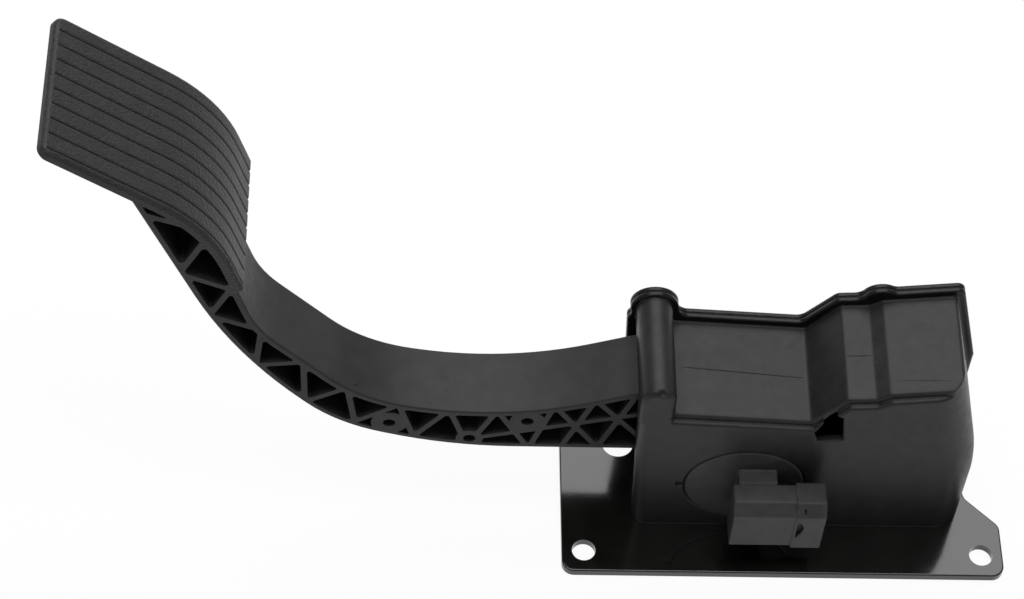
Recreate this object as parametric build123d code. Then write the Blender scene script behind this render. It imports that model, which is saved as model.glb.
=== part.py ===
from build123d import *
import os
from math import atan2, cos, degrees, hypot, pi, radians, sin, sqrt

# A hanging accelerator pedal with an electric position sensor, shown lying on its mounting plate.
# Sizes are millimetres. The origin is on the underside of the plate, midway between the two front
# bolts. X runs right along the plate, Y to the back, Z up. Everything above the plate is drawn
# about the pivot axis, which runs along Y, and is set on the plate at the end.

# Mounting plate: black steel, bolted to the bulkhead
PLATE_THICKNESS = 3.2
PLATE_WIDTH = 160.0
PLATE_DEPTH = 68.0
PLATE_CORNER_RADIUS = 4.5
PLATE_SLANT_START = 21.0
PLATE_SLANT_INSET = 12.0
BOLT_SPACING = 144.0
BOLT_HOLE_DIAMETER = 8.5
BOLT_EDGE_DISTANCE = 8.5
REAR_HOLE_DIAMETER = 11.5
REAR_HOLE_X = -58.5
REAR_HOLE_Y = 45.5
EDGE_ROUNDING = 0.6

# Pivot: place along the plate, height above the plate, and how far the pedal turns, in degrees
PIVOT_X = -16.5
PIVOT_HEIGHT = 28.0
PEDAL_TRAVEL = 16.0

# Housing: one moulding, open at the back, its roof falling to the front so that it leaves the mould.
# Outline points are (x, z) from the pivot axis, where the housing meets its rear cover.
WALL = 2.8
HOUSING_SETBACK = 20.0
HOUSING_DEPTH = 40.0
ROOF_FALL = 2.2
HOUSING_LEFT_FOOT = -37.6
HOUSING_LEFT_TOP = -40.6
HOUSING_RIGHT = 82.1
HOUSING_PANELS = [(-29.0, 44.0), (19.2, 40.6), (30.2, 54.6), (39.8, 55.2), (44.4, 58.2), (69.8, 61.7)]
HOUSING_SLANT_FOOT = (79.2, 24.0)
HOUSING_BEND_FOOT = 4.0
HOUSING_LEFT_ROUNDING = 5.0
HOUSING_RIGHT_ROUNDING = 11.0
LEDGE_DROP = 2.4
LEDGE_INSET = 2.0
LEDGE_ROUNDING = 1.0
CREASE_ROUNDING = 1.6
HOUSING_CORNER_ROUNDING = 1.4
VENT_WINDOW = [(20.6, 34.8), (26.4, 45.4), (29.5, 44.6), (31.4, 30.1), (22.6, 28.6)]

# Screw column along the top left of the housing, with the flange's hump round it
COLUMN_X = -34.4
COLUMN_Z = 51.5
COLUMN_RADIUS = 6.15
COLUMN_END_ROUNDING = 2.2
DIMPLE_RADIUS = 2.0
DIMPLE_SHIFT = 1.0
HUMP_RADIUS = 8.4
HUMP_DROP = 0.7

# Flange, gasket and rear cover
FLANGE_THICKNESS = 1.6
FLANGE_RIM = 2.9
FLANGE_BLEND = 4.0
FLANGE_ROUNDING = 0.5
FLANGE_SETBACK = 0.3
GASKET_THICKNESS = 0.5
GASKET_INSET = 0.4
COVER_THICKNESS = 1.6
LUG_X = 44.1
LUG_Z = 56.0
LUG_RADIUS = 7.2
SCREW_BOSS_RADIUS = 4.6
LOWER_LEFT_BOSS_X = -19.4
LOWER_RIGHT_BOSS_X = 73.0
LOWER_BOSS_HEIGHT = 6.2

# Screws
SCREW_RADIUS = 1.9
SCREW_LENGTH = 13.0
SCREW_HEAD_RADIUS = 3.6
SCREW_HEAD_HEIGHT = 2.4
SCREW_HEAD_ROUNDING = 0.9
SCREW_SOCKET_SIZE = 1.2
SCREW_SOCKET_DEPTH = 1.3
SCREW_FIT = 0.05
FOOT_SCREW_LENGTH = 11.0
FOOT_SCREW_HEAD_RADIUS = 4.2
FOOT_SCREW_HEAD_HEIGHT = 2.1
FOOT_BOSS_RADIUS = 4.4
FOOT_BOSS_HEIGHT = 11.0
FOOT_SCREW_LEFT = -29.0
FOOT_SCREW_RIGHT = 61.0
FOOT_SCREW_INSET = 3.4

# Sensor: a lid set flush in the housing's face, moulded in one with its connector
SENSOR_RADIUS = 21.2
SENSOR_FIT = 0.15
SENSOR_EDGE = 0.6
LID_ROUNDING = 0.4
SENSOR_LID = 2.2
SENSOR_RIM_RADIUS = 18.8
SENSOR_RIM_WALL = 1.8
SENSOR_POCKET_DEPTH = 5.95
BEARING_WALL = 2.4
SENSOR_BOSS_WALL = 2.8
SEAL_THICKNESS = 1.6
KEY_NOTCH_WIDTH = 2.6
KEY_NOTCH_LENGTH = 3.0
KEY_NOTCH_DEPTH = 1.0
BOARD_RADIUS = 15.6
BOARD_THICKNESS = 1.2
ROTOR_RADIUS = 9.5
ROTOR_THICKNESS = 1.7
ROTOR_GAP = 0.2
MAGNET_OUTER_RADIUS = 8.0
MAGNET_INNER_RADIUS = 5.6
MAGNET_THICKNESS = 1.0

# Connector shroud, its axis along X with the mouth to the right
NECK_LEFT = -2.9
NECK_RIGHT = 10.6
CONNECTOR_LEFT = -5.0
CONNECTOR_LENGTH = 32.6
CONNECTOR_THICKNESS = 11.2
CONNECTOR_HEIGHT = 23.5
CONNECTOR_TOP = 10.0
CONNECTOR_REACH = 5.8
CONNECTOR_WALL = 1.8
CONNECTOR_CHAMFER = 3.7
CONNECTOR_ROUNDING = 0.6
CONNECTOR_BACK_WALL = 9.0
COLLAR_LENGTH = 10.6
COLLAR_STEP = 0.6
LATCH_NOTCH = [(0.0, 0.0), (1.4, -0.6), (2.6, -4.2), (2.0, -7.0), (0.4, -10.2), (0.0, -10.2)]
LATCH_NOTCH_DEPTH = 1.8
LATCH_NOTCH_INSET = 0.8
LATCH_NOTCH_Z = 3.6
VENT_SLIT_WIDTH = 0.6
VENT_SLIT_LENGTH = 1.8
VENT_SLIT_INSET = 3.0
PIN_COUNT = 6
PIN_PITCH = 2.8
PIN_SIZE = 0.8
PIN_REACH = 12.0
PIN_FOOT_X = 1.6
PIN_STICKOUT = 0.4

# Shaft and bushings
SHAFT_RADIUS = 5.0
SHAFT_FIT = 0.05
SHAFT_END_GAP = 0.3
BUSHING_WALL = 1.4
BUSHING_FLANGE = 0.9
BUSHING_FLANGE_RADIUS = 8.6
END_FLOAT = 0.1
REAR_BOSS_RADIUS = 11.0

# Pedal arm: a curved lattice beam, the hub on the shaft, and a tail that loads the springs.
# Each chord is a run of straight lines with the corner radii listed under it.
ARM_WIDTH = 25.0
ARM_WEB = 3.0
CHORD_THICKNESS = 2.2
RIB_THICKNESS = 2.1
RIB_REACH = 1.2
BOTTOM_CHORD = [(-23.4, 7.8), (-105.7, 7.8), (-144.6, 21.7), (-178.7, 63.5), (-207.2, 149.4)]
BOTTOM_RADII = [133.0, 57.0, 195.0]
TOP_CHORD = [(-175.5, 99.5), (-170.0, 78.2), (-135.4, 36.4), (-85.1, 25.7), (-38.6, 44.2), (17.0, 12.0)]
TOP_RADII = [44.0, 51.0, 103.0, 5.0]
TAIL_TOP = (45.7, -4.8)
HUB_RADIUS = 14.0
NOSE_X = 50.0
NOSE_Z = -7.0
NOSE_RADIUS = 5.0
LATTICE_END = -20.0
HUB_HEEL = (-13.0, -5.0)
SMALLEST_POCKET = 3.0
POCKET_ROUNDING = 0.09
ARM_EDGE_ROUNDING = 0.7

# Ribs of the lattice, each from one chord to the other, as (x, z) pairs from the pivot axis
RIBS = [
    ((-203.8, 141.6), (-193.4, 137.0)),
    ((-185.6, 127.0), (-194.3, 110.0)),
    ((-194.3, 110.0), (-176.8, 101.0)),
    ((-178.0, 101.5), (-185.6, 86.5)),
    ((-185.6, 86.5), (-170.6, 79.2)),
    ((-168.8, 77.7), (-171.0, 60.0)),
    ((-170.4, 57.6), (-157.6, 59.2)),
    ((-155.2, 57.2), (-155.2, 37.6)),
    ((-154.0, 36.0), (-142.8, 42.8)),
    ((-140.2, 41.0), (-138.2, 24.0)),
    ((-137.5, 23.5), (-124.5, 32.5)),
    ((-122.2, 31.5), (-118.0, 15.5)),
    ((-116.5, 15.5), (-106.8, 29.0)),
    ((-104.6, 29.0), (-100.5, 15.5)),
    ((-95.5, 15.5), (-89.5, 29.0)),
    ((-87.6, 29.0), (-78.0, 9.5)),
    ((-95.0, 13.8), (-31.0, 32.4)),
    ((-76.2, 9.5), (-69.6, 32.0)),
    ((-67.2, 32.0), (-53.8, 10.5)),
    ((-55.8, 36.0), (-65.2, 9.0)),
    ((-53.4, 36.8), (-34.0, 10.0)),
    ((-40.5, 43.0), (-52.4, 9.0)),
    ((-38.5, 43.0), (-22.0, 12.0)),
    ((-37.0, 9.0), (-27.0, 36.0)),
]
RIB_BOSSES = [(-126.1, 22.5, 6.4), (-97.9, 13.2, 4.8), (-77.9, 24.7, 6.2)]
RIB_BOSS_HOLE_RADIUS = 2.2

# Tread: one moulding with the arm, flush with its front side and overhanging at the back
TREAD_LINE = [(-234.3, 170.6), (-185.6, 131.7), (-177.2, 100.0)]
TREAD_BEND_RADIUS = 59.0
TREAD_THICKNESS = 3.5
TREAD_WIDTH = 55.0
TREAD_CORNER_RADIUS = 3.5
TREAD_EDGE_ROUNDING = 1.8
TREAD_OVERLAP = 1.5
GROOVE_COUNT = 9
GROOVE_PITCH = 5.85
GROOVE_SHIFT = -1.8
GROOVE_WIDTH = 0.7
GROOVE_DEPTH = 0.7
GROOVE_SHOULDER = 1.8
GROOVE_SHOULDER_DEPTH = 0.14
GROOVE_END_MARGIN = 1.6

# Return springs, their rocking seat and the rubber stops
SEAT_LENGTH = 24.0
SEAT_WIDTH = 23.0
SEAT_THICKNESS = 2.5
SADDLE_HEIGHT = 9.5
SADDLE_WIDTH = 8.8
SADDLE_WRAP = 50.0
SADDLE_FIT = 0.05
SPIGOT_RADIUS = 4.2
SPIGOT_HEIGHT = 4.0
SPRING_TOP = 48.0
SPRING_BOSS_RADIUS = 11.6
OUTER_SPRING_RADIUS = 9.0
OUTER_SPRING_WIRE = 2.2
OUTER_SPRING_TURNS = 6.0
INNER_SPRING_RADIUS = 5.6
INNER_SPRING_WIRE = 1.5
INNER_SPRING_TURNS = 8.0
STOP_PAD_THICKNESS = 3.0
STOP_PAD_WIDTH = 16.0
STOP_GAP = 0.1
IDLE_STOP_X = 38.0
IDLE_STOP_LENGTH = 10.0
FULL_STOP_X = -31.5
FULL_STOP_LENGTH = 7.0
SLOT_SIDE_GAP = 1.8
SLOT_TOP = 44.8
SLOT_DEPTH = 11.0

# How near two places have to be to count as the same, and how far a face on the tread's top may lean,
# in degrees
NEAR = 0.001
TOP_TILT = 25.0

# Places that follow from the sizes above
BASE_Z = -PIVOT_HEIGHT
FACE_Y = HOUSING_SETBACK - BOLT_EDGE_DISTANCE
FLANGE_Y = FACE_Y + HOUSING_DEPTH
GASKET_Y = FLANGE_Y + FLANGE_THICKNESS
COVER_Y = GASKET_Y + GASKET_THICKNESS
COVER_BACK_Y = COVER_Y + COVER_THICKNESS
LID_BACK_Y = FACE_Y + SENSOR_LID
SEAL_BACK_Y = LID_BACK_Y + SEAL_THICKNESS
POCKET_FLOOR_Y = FACE_Y + SENSOR_POCKET_DEPTH
FRONT_BEARING_Y = POCKET_FLOOR_Y + BEARING_WALL
ARM_FRONT_Y = FRONT_BEARING_Y + BUSHING_FLANGE + END_FLOAT
ARM_BACK_Y = ARM_FRONT_Y + ARM_WIDTH
ARM_MIDDLE_Y = (ARM_FRONT_Y + ARM_BACK_Y) / 2
ROTOR_BACK_Y = POCKET_FLOOR_Y - ROTOR_GAP
ROTOR_FRONT_Y = ROTOR_BACK_Y - ROTOR_THICKNESS
REAR_BEARING_Y = ARM_BACK_Y + END_FLOAT + BUSHING_FLANGE
BUSHING_RADIUS = SHAFT_RADIUS + SHAFT_FIT + BUSHING_WALL
CONNECTOR_BACK_Y = FACE_Y - CONNECTOR_REACH
CONNECTOR_RIGHT = CONNECTOR_LEFT + CONNECTOR_LENGTH
SOCKET_FLOOR_X = CONNECTOR_LEFT + CONNECTOR_BACK_WALL
SEAT_BOTTOM = NOSE_Z + SADDLE_HEIGHT
SEAT_TOP = SEAT_BOTTOM + SEAT_THICKNESS
ON_PLATE = Pos(PIVOT_X, 0, PLATE_THICKNESS + PIVOT_HEIGHT)


def along_y(outline, front, back, fall=0.0):
    """An outline in x and z at the back Y, drawn to the front Y and dropping by a fall on the way."""
    depth = back - front
    return extrude(Plane.XZ.offset(-back) * outline, amount=hypot(depth, fall), dir=(0, -depth, -fall))


def rod(x, z, radius, front, back):
    """A round bar along Y."""
    return along_y(Pos(x, z) * Circle(radius), front, back)


def block(left, right, front, back, bottom, top):
    """A rectangular block between its six faces."""
    middle = Pos((left + right) / 2, (front + back) / 2, (bottom + top) / 2)
    return middle * Box(right - left, back - front, top - bottom)


def shifted(points, distance):
    """The points of a run of lines moved sideways, to its left when distance is positive."""
    headings = [atan2(b[1] - a[1], b[0] - a[0]) for a, b in zip(points, points[1:])]
    before = [headings[0]] + headings
    after = headings + [headings[-1]]
    moved = []
    for (x, z), one, two in zip(points, before, after):
        reach = distance / cos((two - one) / 2)
        facing = (one + two) / 2 + pi / 2
        moved.append((x + reach * cos(facing), z + reach * sin(facing)))
    return moved


def chord(points, radii, distance=0.0):
    """A run of lines with rounded corners, moved sideways with its radii kept concentric."""
    turns = []
    for a, b, c in zip(points, points[1:], points[2:]):
        turns.append((b[0] - a[0]) * (c[1] - b[1]) - (b[1] - a[1]) * (c[0] - b[0]))
    kept = [r - distance if turn > 0 else r + distance for r, turn in zip(radii, turns)]
    return FilletPolyline(*shifted(points, distance), radius=kept)


def enclosed(*runs):
    """The area inside runs of line laid end to end, with straight lines across any gaps."""
    edges = []
    for run in runs:
        edges += run.edges()
    for run, following in zip(runs, runs[1:] + runs[:1]):
        start = run @ 1
        end = following @ 0
        if (end - start).length > NEAR:
            edges.append(Edge.make_line(start, end))
    return make_face(edges)


def bar(a, b, width):
    """A straight bar in x and z between two points, reaching a little past both."""
    length = hypot(b[0] - a[0], b[1] - a[1]) + 2 * RIB_REACH
    angle = degrees(atan2(b[1] - a[1], b[0] - a[0]))
    return Pos((a[0] + b[0]) / 2, (a[1] + b[1]) / 2) * Rot(0, 0, angle) * Rectangle(length, width)


def turned(x, z, angle):
    """A point in x and z after the pedal has turned by an angle in degrees."""
    a = radians(angle)
    return (x * cos(a) - z * sin(a), x * sin(a) + z * cos(a))


def make_plate():
    """The flat plate with its slanted corner, two front bolt holes and one rear hole."""
    half = PLATE_WIDTH / 2
    front = -BOLT_EDGE_DISTANCE
    back = front + PLATE_DEPTH
    slant_start = front + PLATE_SLANT_START
    outline = make_face(
        Polyline(
            (-half, front),
            (half, front),
            (half, slant_start),
            (half - PLATE_SLANT_INSET, slant_start + PLATE_SLANT_INSET),
            (half - PLATE_SLANT_INSET, back),
            (-half, back),
            close=True,
        )
    )
    outline = fillet(outline.vertices(), PLATE_CORNER_RADIUS)
    plate = extrude(outline, amount=PLATE_THICKNESS)
    rim = plate.faces().sort_by(Axis.Z)[-1].edges()
    plate = fillet(rim, EDGE_ROUNDING)
    for x in (-BOLT_SPACING / 2, BOLT_SPACING / 2):
        plate -= extrude(Pos(x, 0) * Circle(BOLT_HOLE_DIAMETER / 2), amount=PLATE_THICKNESS)
    plate -= extrude(Pos(REAR_HOLE_X, REAR_HOLE_Y) * Circle(REAR_HOLE_DIAMETER / 2), amount=PLATE_THICKNESS)
    for x, y in foot_screw_places():
        plate -= Pos(PIVOT_X, 0, 0) * foot_screw(x, y, SCREW_FIT)
    return plate


def foot_screw_places():
    """Where the housing is screwed down, as x from the pivot and y."""
    front = FACE_Y + WALL + FOOT_SCREW_INSET
    back = GASKET_Y - FOOT_BOSS_RADIUS - FOOT_SCREW_INSET + WALL
    return [(x, y) for x in (FOOT_SCREW_LEFT, FOOT_SCREW_RIGHT) for y in (front, back)]


def foot_screw(x, y, spare=0.0):
    """A countersunk screw standing head down, its head flush with the plate's underside."""
    head = Cone(
        FOOT_SCREW_HEAD_RADIUS + spare,
        SCREW_RADIUS + spare,
        FOOT_SCREW_HEAD_HEIGHT,
        align=(Align.CENTER, Align.CENTER, Align.MIN),
    )
    shank = Cylinder(
        SCREW_RADIUS + spare,
        FOOT_SCREW_LENGTH + spare,
        align=(Align.CENTER, Align.CENTER, Align.MIN),
    )
    return Pos(x, y, 0) * (head + shank)


def make_foot_screws():
    """The group of countersunk screws, each with its hexagonal socket."""
    socket = extrude(RegularPolygon(SCREW_SOCKET_SIZE, 6), amount=SCREW_SOCKET_DEPTH)
    return [Pos(PIVOT_X, 0, 0) * (foot_screw(x, y) - Pos(x, y, 0) * socket) for x, y in foot_screw_places()]


def housing_outline(inset=0.0):
    """The housing seen from the front without its screw column, drawn in by an inset."""
    left_top = (HOUSING_LEFT_TOP, HOUSING_PANELS[0][1])
    line = [(HOUSING_LEFT_FOOT, BASE_Z), left_top] + HOUSING_PANELS + [HOUSING_SLANT_FOOT]
    line = shifted(line, -inset)
    floor = BASE_Z + inset
    right = HOUSING_RIGHT - inset
    upper = Polyline((line[0][0], floor), *line[1:])
    bend = TangentArc(line[-1], (right, HOUSING_BEND_FOOT), tangent=upper % 1)
    lower = Polyline((right, HOUSING_BEND_FOOT), (right, floor))
    return enclosed(upper, bend, lower)


def screw_places():
    """Where the rear cover is screwed on, as x and z from the pivot axis."""
    low = BASE_Z + LOWER_BOSS_HEIGHT
    lug = LUG_Z - LUG_RADIUS + SCREW_BOSS_RADIUS
    return [(COLUMN_X, COLUMN_Z), (LUG_X, lug), (LOWER_LEFT_BOSS_X, low), (LOWER_RIGHT_BOSS_X, low)]


def column_outline():
    """The screw column seen from the front, with the neck that joins it to the housing."""
    bottom = HOUSING_PANELS[0][1] - ROOF_FALL - WALL
    neck = Pos(COLUMN_X, (COLUMN_Z + bottom) / 2) * Rectangle(2 * COLUMN_RADIUS, COLUMN_Z - bottom)
    return Pos(COLUMN_X, COLUMN_Z) * Circle(COLUMN_RADIUS) + neck


def flange_outline():
    """The flange seen from the front: the housing grown by the rim, blended into two screw lugs."""
    grown = offset(housing_outline(), FLANGE_RIM, kind=Kind.ARC)
    hump = Pos(COLUMN_X, COLUMN_Z - HUMP_DROP) * Circle(HUMP_RADIUS)
    lug = Pos(LUG_X, LUG_Z) * Circle(LUG_RADIUS)
    grown = offset(grown + hump + lug, FLANGE_BLEND, kind=Kind.ARC)
    blended = offset(grown, -FLANGE_BLEND, kind=Kind.ARC)
    below = Pos(0, BASE_Z - PLATE_WIDTH / 2) * Rectangle(2 * PLATE_WIDTH, PLATE_WIDTH)
    right = HOUSING_RIGHT - FLANGE_SETBACK
    beside = Pos(right + PLATE_WIDTH / 2, 0) * Rectangle(PLATE_WIDTH, 2 * PLATE_WIDTH)
    return blended - below - beside


def rounded_flange(front, back, rounded_face):
    """The flange's outline between two Y faces, with the outer edge of one face rounded."""
    sheet = along_y(flange_outline(), front, back)
    rim = sheet.edges().filter_by(lambda e: abs(e.center().Y - rounded_face) < NEAR)
    return fillet(rim.filter_by(lambda e: e.center().Z > BASE_Z + NEAR), FLANGE_ROUNDING)


def roof_drop(y):
    """How far the roof has dropped at a Y in front of the rear cover."""
    return ROOF_FALL * (GASKET_Y - y) / (GASKET_Y - FACE_Y)


def housing_block(inset=0.0):
    """The housing as a solid block drawn in by an inset, with its upright front edges rounded."""
    front = FACE_Y + inset
    solid = along_y(housing_outline(inset), front, GASKET_Y, roof_drop(front))
    solid -= block(-PLATE_WIDTH, PLATE_WIDTH, front, GASKET_Y, BASE_Z - PLATE_WIDTH, BASE_Z + inset)
    face_edges = solid.edges().filter_by(lambda e: abs(e.center().Y - front) < NEAR)
    solid = fillet(face_edges.sort_by(Axis.X)[0], HOUSING_LEFT_ROUNDING - inset)
    face_edges = solid.edges().filter_by(lambda e: abs(e.center().Y - front) < NEAR)
    right_edges = face_edges.filter_by(lambda e: e.center().X > HOUSING_PANELS[-1][0])
    return fillet(right_edges, HOUSING_RIGHT_ROUNDING - inset)


def run_edges(solid, points, y):
    """The edges of a solid that lie along a run of lines in x and z at one Y."""
    found = []
    for edge in solid.edges():
        middle = edge.center()
        for a, b in zip(points, points[1:]):
            across = (b[0] - a[0]) * (middle.Z - a[1]) - (b[1] - a[1]) * (middle.X - a[0])
            if a[0] < middle.X < b[0] and abs(across) < NEAR and abs(middle.Y - y) < NEAR:
                found.append(edge)
    return found


def roof_creases(solid):
    """The edges of a solid where two panels of the roof meet, running from front to back."""
    found = []
    for edge in solid.edges():
        middle = edge.center()
        for x, z in HOUSING_PANELS[1:-1]:
            if abs(middle.X - x) < NEAR and abs(middle.Z - z + roof_drop(middle.Y)) < NEAR:
                found.append(edge)
    return found


def make_housing():
    """The moulded housing: walls, column, flange, bosses, sensor pocket, stops and the arm's slot."""
    outer = housing_block()
    ledge_back = FACE_Y + LEDGE_INSET
    brow = [(x, z - roof_drop(ledge_back)) for x, z in HOUSING_PANELS]
    lip = shifted(brow, -LEDGE_DROP)
    ledge = make_face(Polyline(*lip, *shifted(brow, LEDGE_DROP)[::-1], close=True))
    outer -= along_y(ledge, FACE_Y, ledge_back)
    outer = fillet(roof_creases(outer), CREASE_ROUNDING)
    outer = fillet(run_edges(outer, brow, ledge_back), LEDGE_ROUNDING)
    outer = fillet(run_edges(outer, lip, FACE_Y), LEDGE_ROUNDING)
    corner = housing_outline().vertices().sort_by(lambda v: v.X + v.Y)[-1]
    sharp = housing_outline() - fillet(corner, HOUSING_CORNER_ROUNDING)
    outer -= along_y(sharp, FACE_Y, GASKET_Y, roof_drop(FACE_Y))
    column = along_y(column_outline(), FACE_Y, GASKET_Y)
    column_end = column.edges().filter_by(lambda e: abs(e.center().Y - FACE_Y) < NEAR).sort_by(Axis.Z)[-1]
    outer += fillet(column_end, COLUMN_END_ROUNDING)
    outer -= Pos(COLUMN_X + DIMPLE_SHIFT, FACE_Y, COLUMN_Z + COLUMN_RADIUS) * Sphere(DIMPLE_RADIUS)
    inside = housing_block(WALL)
    slot_front = ARM_FRONT_Y - SLOT_SIDE_GAP
    slot_left = HOUSING_LEFT_TOP - WALL
    left_wall = HOUSING_LEFT_FOOT + WALL
    slot = block(slot_left, left_wall, slot_front, FLANGE_Y, BASE_Z, SLOT_TOP)
    slot += block(slot_left, HOUSING_LEFT_TOP + SLOT_DEPTH, slot_front, FLANGE_Y, 0, SLOT_TOP)
    bosses = rod(0, 0, SENSOR_RADIUS + SENSOR_BOSS_WALL, FACE_Y + WALL, FRONT_BEARING_Y)
    for x, z in screw_places()[1:]:
        bosses += rod(x, z, SCREW_BOSS_RADIUS, FACE_Y + WALL, GASKET_Y)
    for x, y in foot_screw_places():
        bosses += Pos(x, y, BASE_Z) * upright(FOOT_BOSS_RADIUS, FOOT_BOSS_HEIGHT)
    bosses += spring_place(SPRING_TOP) * upright(SPRING_BOSS_RADIUS, COLUMN_Z)
    bosses += spring_place(SPRING_TOP - SPIGOT_HEIGHT) * upright(SPIGOT_RADIUS, SPIGOT_HEIGHT)
    bosses += along_y(idle_post(), *stop_span()) + along_y(full_post(), *stop_span())
    housing = outer - inside - slot + (bosses & outer)
    opening = along_y(housing_outline(WALL), FLANGE_Y, GASKET_Y)
    housing += rounded_flange(FLANGE_Y, GASKET_Y, FLANGE_Y) - opening
    housing -= rod(0, 0, SENSOR_RADIUS, FACE_Y, SEAL_BACK_Y)
    circles = housing.edges().filter_by(GeomType.CIRCLE)
    circles = circles.filter_by(lambda e: abs(e.center().Y - FACE_Y) < NEAR)
    pocket_edge = circles.filter_by(lambda e: abs(e.radius - SENSOR_RADIUS) < NEAR)
    housing = chamfer(pocket_edge, SENSOR_EDGE)
    housing -= rod(0, 0, SENSOR_RIM_RADIUS + SENSOR_FIT, FACE_Y, POCKET_FLOOR_Y)
    housing -= rod(0, 0, BUSHING_RADIUS, FACE_Y, FRONT_BEARING_Y)
    notch_left = -SENSOR_RADIUS - KEY_NOTCH_LENGTH
    half_notch = KEY_NOTCH_WIDTH / 2
    notch_back = FACE_Y + KEY_NOTCH_DEPTH
    housing -= block(notch_left, -SENSOR_RIM_RADIUS, FACE_Y, notch_back, -half_notch, half_notch)
    housing -= along_y(make_face(Polyline(*VENT_WINDOW, close=True)), FACE_Y, FACE_Y + WALL)
    for x, z in screw_places():
        housing -= rod(x, z, SCREW_RADIUS + SCREW_FIT, COVER_BACK_Y - SCREW_LENGTH - SCREW_FIT, GASKET_Y)
    for x, y in foot_screw_places():
        housing -= Pos(0, 0, BASE_Z - PLATE_THICKNESS) * foot_screw(x, y, SCREW_FIT)
    return housing


def upright(radius, height):
    """A round post standing on its own centre."""
    return Cylinder(radius, height, align=(Align.CENTER, Align.CENTER, Align.MIN))


def spring_place(z):
    """The springs' upright axis at a height."""
    return Pos(NOSE_X, ARM_MIDDLE_Y, z)


def stop_span():
    """Front and back of both stops."""
    return ARM_MIDDLE_Y - STOP_PAD_WIDTH / 2, ARM_MIDDLE_Y + STOP_PAD_WIDTH / 2


def idle_pad():
    """The pad under the tail, a hair below it at rest."""
    top = NOSE_Z - NOSE_RADIUS - STOP_GAP
    return Pos(IDLE_STOP_X, top - STOP_PAD_THICKNESS / 2) * Rectangle(IDLE_STOP_LENGTH, STOP_PAD_THICKNESS)


def idle_post():
    """The post that carries the idle pad."""
    top = NOSE_Z - NOSE_RADIUS - STOP_GAP - STOP_PAD_THICKNESS
    return Pos(IDLE_STOP_X, (top + BASE_Z) / 2) * Rectangle(IDLE_STOP_LENGTH, top - BASE_Z)


def full_pad():
    """The pad that meets the arm's underside when the pedal is right down, at the arm's slope there."""
    middle = BOTTOM_CHORD[0][1] - STOP_GAP - STOP_PAD_THICKNESS / 2
    pad = Pos(FULL_STOP_X, middle) * Rectangle(FULL_STOP_LENGTH, STOP_PAD_THICKNESS)
    return Rot(0, 0, PEDAL_TRAVEL) * pad


def full_post():
    """The post that carries the full pad, with its top cut to the pad's slope."""
    seat = BOTTOM_CHORD[0][1] - STOP_GAP - STOP_PAD_THICKNESS
    left = turned(FULL_STOP_X - FULL_STOP_LENGTH / 2, seat, PEDAL_TRAVEL)
    right = turned(FULL_STOP_X + FULL_STOP_LENGTH / 2, seat, PEDAL_TRAVEL)
    return make_face(Polyline(left, right, (right[0], BASE_Z), (left[0], BASE_Z), close=True))


def make_rear_cover():
    """The flat cover with the rear bearing's boss on its inner side."""
    cover = rounded_flange(COVER_Y, COVER_BACK_Y, COVER_BACK_Y)
    cover += rod(0, 0, REAR_BOSS_RADIUS, REAR_BEARING_Y, COVER_Y)
    cover -= rod(0, 0, BUSHING_RADIUS, REAR_BEARING_Y, COVER_Y)
    for x, z in screw_places():
        cover -= rod(x, z, SCREW_RADIUS + SCREW_FIT, COVER_Y, COVER_BACK_Y)
    return cover


def make_gasket():
    """The seal between flange and cover, with an eye round each screw."""
    area = offset(flange_outline(), -GASKET_INSET) - housing_outline(WALL)
    for x, z in screw_places():
        area += Pos(x, z) * Circle(SCREW_BOSS_RADIUS)
    for x, z in screw_places():
        area -= Pos(x, z) * Circle(SCREW_RADIUS + SCREW_FIT)
    return along_y(area, GASKET_Y, COVER_Y)


def make_cover_screws():
    """The pan-head screws that hold the cover on."""
    screws = []
    for x, z in screw_places():
        head = rod(x, z, SCREW_HEAD_RADIUS, COVER_BACK_Y, COVER_BACK_Y + SCREW_HEAD_HEIGHT)
        head = fillet(head.edges().sort_by(Axis.Y)[-1], SCREW_HEAD_ROUNDING)
        shank = rod(x, z, SCREW_RADIUS, COVER_BACK_Y - SCREW_LENGTH, COVER_BACK_Y)
        top = COVER_BACK_Y + SCREW_HEAD_HEIGHT
        socket = along_y(Pos(x, z) * RegularPolygon(SCREW_SOCKET_SIZE, 6), top - SCREW_SOCKET_DEPTH, top)
        screws.append(head + shank - socket)
    return screws


def bushing(flange_front, flange_back, sleeve_front, sleeve_back):
    """A flanged plain bearing between the given Y faces."""
    body = rod(0, 0, BUSHING_FLANGE_RADIUS, flange_front, flange_back)
    body += rod(0, 0, BUSHING_RADIUS, sleeve_front, sleeve_back)
    front = min(flange_front, sleeve_front)
    back = max(flange_back, sleeve_back)
    return body - rod(0, 0, SHAFT_RADIUS + SHAFT_FIT, front, back)


def make_front_bushing():
    """The bearing in the housing."""
    return bushing(FRONT_BEARING_Y, FRONT_BEARING_Y + BUSHING_FLANGE, POCKET_FLOOR_Y, FRONT_BEARING_Y)


def make_rear_bushing():
    """The bearing in the cover."""
    return bushing(REAR_BEARING_Y - BUSHING_FLANGE, REAR_BEARING_Y, REAR_BEARING_Y, COVER_Y)


def make_shaft():
    """The steel pin that the arm turns on."""
    return rod(0, 0, SHAFT_RADIUS, ROTOR_FRONT_Y, COVER_Y - SHAFT_END_GAP)


def make_rotor():
    """The carrier of the sensor magnet, on the front end of the shaft."""
    rotor = rod(0, 0, ROTOR_RADIUS, ROTOR_FRONT_Y, ROTOR_BACK_Y)
    rotor -= rod(0, 0, SHAFT_RADIUS, ROTOR_FRONT_Y, ROTOR_BACK_Y)
    return rotor - make_magnet()


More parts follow.
